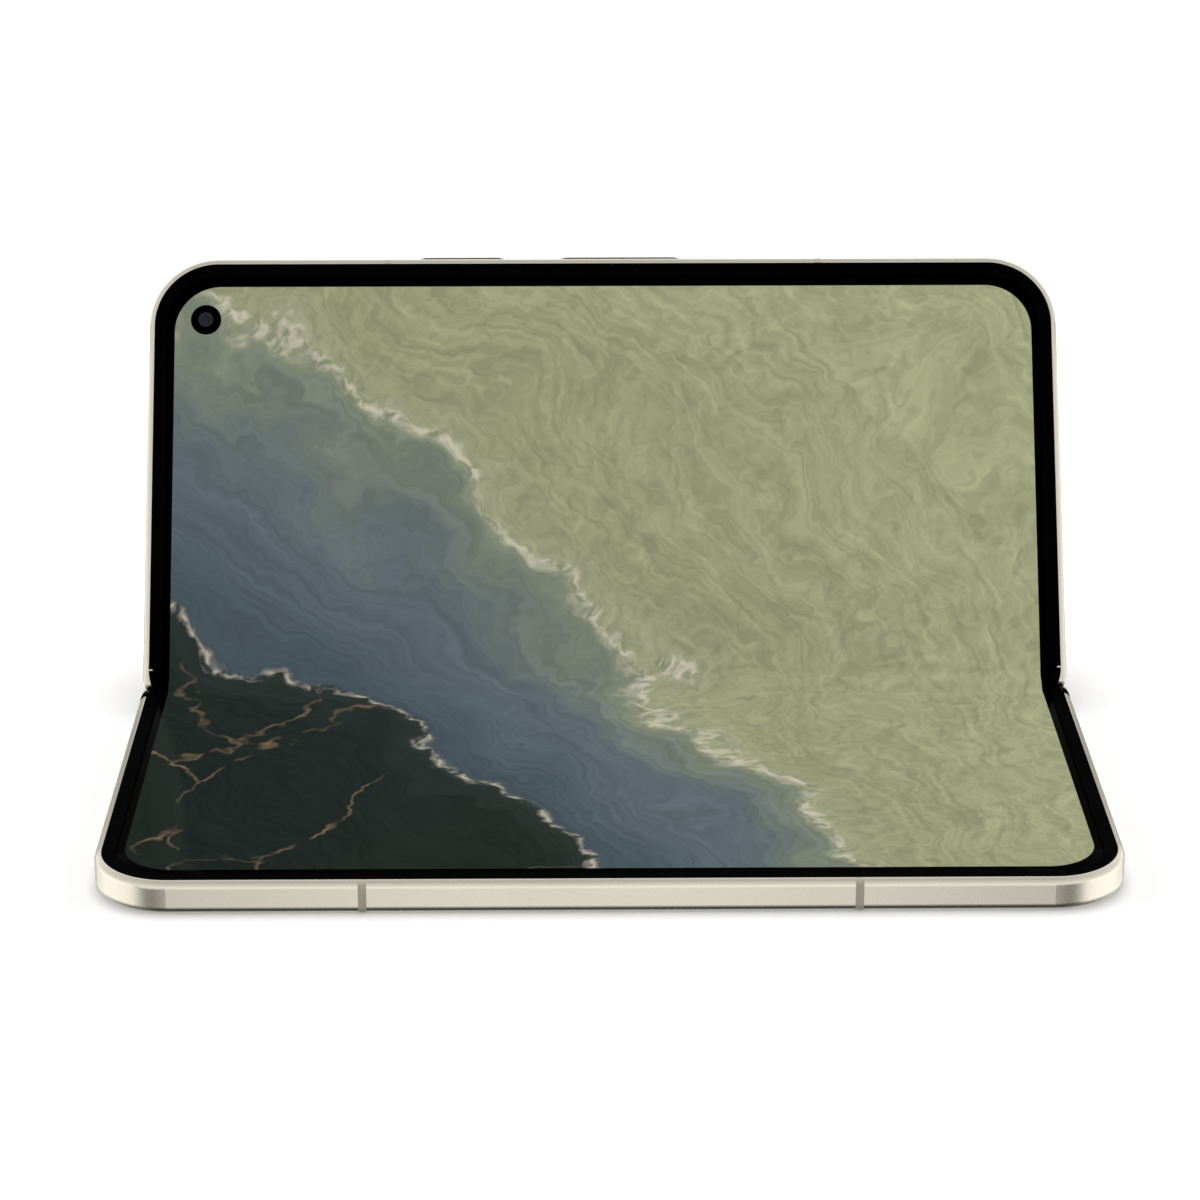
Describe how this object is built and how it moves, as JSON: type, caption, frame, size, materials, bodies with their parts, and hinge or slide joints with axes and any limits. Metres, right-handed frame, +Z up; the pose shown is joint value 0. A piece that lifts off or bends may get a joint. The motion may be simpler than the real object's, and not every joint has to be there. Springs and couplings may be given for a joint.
{
  "type": "foldable smartphone",
  "caption": "Book-style foldable phone with a folding inner display, a geared dual-axis hinge, side keys, a card tray and a rear camera island.",
  "frame": {"origin": "centre of the underside of the lower half, on the outer cover glass", "axes": "+X along the hinge, -Y towards the front edge, +Z up; the lower half lies flat and the upper half leans back at the standing angle"},
  "size_m": [0.1552, 0.1164, 0.0684],
  "materials": {
    "satin_aluminium": "bead-blasted, champagne anodised",
    "antenna_resin": "moulded, coloured to the frame",
    "cover_glass": "polished, black behind",
    "rear_glass": "etched satin, coloured behind",
    "window_glass": "polished, black behind",
    "display": "folding display, lit picture",
    "black_plastic": "moulded",
    "dark_metal": "black anodised",
    "spine_metal": "polished, champagne coated",
    "steel": "bare",
    "battery_foil": "laminated pouch",
    "circuit_board": "solder mask over copper",
    "copper": "wound wire",
    "flex_film": "polyimide film",
    "flash_resin": "moulded, clear yellow"
  },
  "bodies": {
    "base": {"base_frame": "satin_aluminium", "base_antenna_breaks": "antenna_resin", "cover_glass": "cover_glass", "cover_display": "display", "cover_camera": "black_plastic", "base_battery": "battery_foil", "base_board": "circuit_board", "base_board_shield": "steel", "vibration_motor": "steel", "base_speaker": "black_plastic", "earpiece": "black_plastic", "card_reader": "steel", "base_magnets": "steel", "base_hinge_arms": "steel", "base_arm_screws": "steel", "base_support_plate": "steel", "base_display_panel": "display", "base_bezel": "black_plastic", "base_hinge_seals": "black_plastic"},
    "card_tray": {"card_tray": "satin_aluminium"},
    "spine": {"hinge_spine": "spine_metal", "spine_end_caps": "black_plastic", "hinge_brackets": "steel", "bracket_screws": "steel", "hinge_shafts": "steel", "friction_washers": "steel", "display_fold": "display"},
    "base_side_idlers": {"base_side_idlers": "steel"},
    "lid_side_idlers": {"lid_side_idlers": "steel"},
    "lid": {"lid_frame": "satin_aluminium", "lid_antenna_breaks": "antenna_resin", "rear_glass": "rear_glass", "camera_island": "satin_aluminium", "camera_window": "window_glass", "lens_rings": "dark_metal", "main_camera": "black_plastic", "wide_camera": "black_plastic", "tele_camera": "black_plastic", "flash_lens": "flash_resin", "inner_camera": "black_plastic", "lid_battery": "battery_foil", "main_board": "circuit_board", "main_board_shield": "steel", "charging_socket": "steel", "lid_speaker": "black_plastic", "charging_coil": "copper", "key_board": "flex_film", "lid_magnets": "steel", "lid_hinge_arms": "steel", "lid_arm_screws": "steel", "lid_support_plate": "steel", "lid_display_panel": "display", "lid_bezel": "black_plastic", "lid_hinge_seals": "black_plastic"},
    "power_button": {"power_button": "satin_aluminium"},
    "volume_rocker": {"volume_rocker": "satin_aluminium"}
  },
  "joints": [
    {"name": "base_hinge", "type": "hinge", "parent": "base", "child": "spine", "pos_m": [0, 0.03535, 0.00305], "axis": [1, 0, 0], "range_deg": [-29.5, 60.5], "deforming": ["display_fold"]},
    {"name": "lid_hinge", "type": "hinge", "parent": "spine", "child": "lid", "pos_m": [0, 0.03918, 0.00522], "axis": [1, 0, 0], "range_deg": [-29.5, 60.5]},
    {"name": "base_side_idler_spin", "type": "hinge", "parent": "spine", "child": "base_side_idlers", "pos_m": [0, 0.03663, 0.00377], "axis": [1, 0, 0], "range_deg": [-29.5, 60.5]},
    {"name": "lid_side_idler_spin", "type": "hinge", "parent": "spine", "child": "lid_side_idlers", "pos_m": [0, 0.0379, 0.00449], "axis": [1, 0, 0], "range_deg": [-60.5, 29.5]},
    {"name": "card_tray_slide", "type": "slide", "parent": "base", "child": "card_tray", "axis": [1, 0, 0], "range_m": [0, 0.022]},
    {"name": "power_button_press", "type": "slide", "parent": "lid", "child": "power_button", "axis": [0, -0.515, -0.8572], "range_m": [0, 0.0003], "stiffness_N_per_m": 3000, "springref_m": -0.0002},
    {"name": "volume_rocker_tilt", "type": "hinge", "parent": "lid", "child": "volume_rocker", "pos_m": [0.0029, 0.0762, 0.06586], "axis": [0, -0.8572, 0.515], "range_deg": [-1.3, 1.3], "stiffness_Nm_per_rad": 0.4}
  ],
  "couplings": [
    {"joint": "lid_hinge", "follows": "base_hinge", "ratio": 1},
    {"joint": "base_side_idler_spin", "follows": "base_hinge", "ratio": 1},
    {"joint": "lid_side_idler_spin", "follows": "base_hinge", "ratio": -1}
  ]
}
